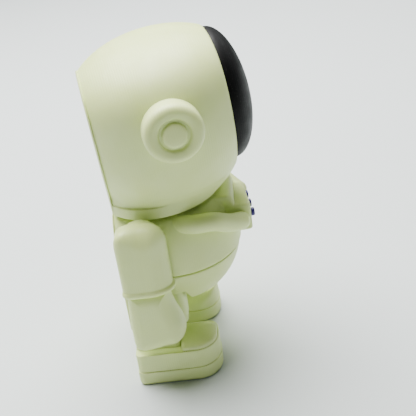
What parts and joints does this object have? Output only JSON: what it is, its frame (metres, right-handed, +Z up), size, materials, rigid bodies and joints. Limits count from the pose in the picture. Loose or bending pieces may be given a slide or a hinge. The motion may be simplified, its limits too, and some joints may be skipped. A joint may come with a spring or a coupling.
{
  "type": "jointed toy astronaut figure",
  "caption": "Small jointed astronaut figure in pale printed plastic with a flat back, big helmet, dark visor, chest pack with hoses, swinging arms and legs, and chunky boots.",
  "frame": {"origin": "on the ground under the middle of the figure's bounding box; the body's plane of symmetry is at x = -0.0009 because the head is turned a little to the left", "axes": "+Z up; the figure faces -Y and its flat back is towards +Y; its right side is -X"},
  "size_m": [0.0586, 0.0481, 0.099],
  "materials": {
    "glow_plastic": "pale cream-green printed plastic with fine layer lines, soft satin",
    "visor_black": "black printed plastic, satin with faint speckle",
    "key_blue": "violet-blue printed plastic"
  },
  "bodies": {
    "torso": {"torso_jacket": "glow_plastic", "torso_back_plate": "glow_plastic", "pelvis": "glow_plastic", "chest_box": "glow_plastic", "chest_key_right": "key_blue", "chest_key_middle": "key_blue", "chest_key_left": "key_blue", "hose_right": "glow_plastic", "hose_left": "glow_plastic"},
    "head": {"helmet_shell": "glow_plastic", "helmet_back_plate": "glow_plastic", "visor": "visor_black", "ear_cup_right": "glow_plastic", "ear_cup_left": "glow_plastic", "ear_button_right": "glow_plastic", "ear_button_left": "glow_plastic", "neck_peg": "glow_plastic"},
    "arm_right": {"sleeve_right": "glow_plastic", "glove_right": "glow_plastic", "shoulder_pin_right": "glow_plastic"},
    "arm_left": {"sleeve_left": "glow_plastic", "glove_left": "glow_plastic", "shoulder_pin_left": "glow_plastic"},
    "leg_right": {"leg_right": "glow_plastic", "hip_pin_right": "glow_plastic", "boot_right": "glow_plastic", "toe_cap_right": "glow_plastic", "sole_right": "glow_plastic"},
    "leg_left": {"leg_left": "glow_plastic", "hip_pin_left": "glow_plastic", "boot_left": "glow_plastic", "toe_cap_left": "glow_plastic", "sole_left": "glow_plastic"}
  },
  "joints": [
    {"name": "head_turn", "type": "hinge", "parent": "torso", "child": "head", "pos_m": [-0.0009, 0.00421, 0.0532], "axis": [0, 0.0495, 0.9988], "continuous": true},
    {"name": "shoulder_right", "type": "hinge", "parent": "torso", "child": "arm_right", "pos_m": [-0.0249, 0.00986, 0.0486], "axis": [-1, 0, 0], "range_deg": [-110, 110]},
    {"name": "shoulder_left", "type": "hinge", "parent": "torso", "child": "arm_left", "pos_m": [0.0231, 0.00986, 0.0486], "axis": [-1, 0, 0], "range_deg": [-110, 110]},
    {"name": "hip_right", "type": "hinge", "parent": "torso", "child": "leg_right", "pos_m": [-0.0121, 0.00986, 0.0293], "axis": [-1, 0, 0], "range_deg": [-14, 12]},
    {"name": "hip_left", "type": "hinge", "parent": "torso", "child": "leg_left", "pos_m": [0.0103, 0.00986, 0.0293], "axis": [-1, 0, 0], "range_deg": [-14, 12]}
  ]
}
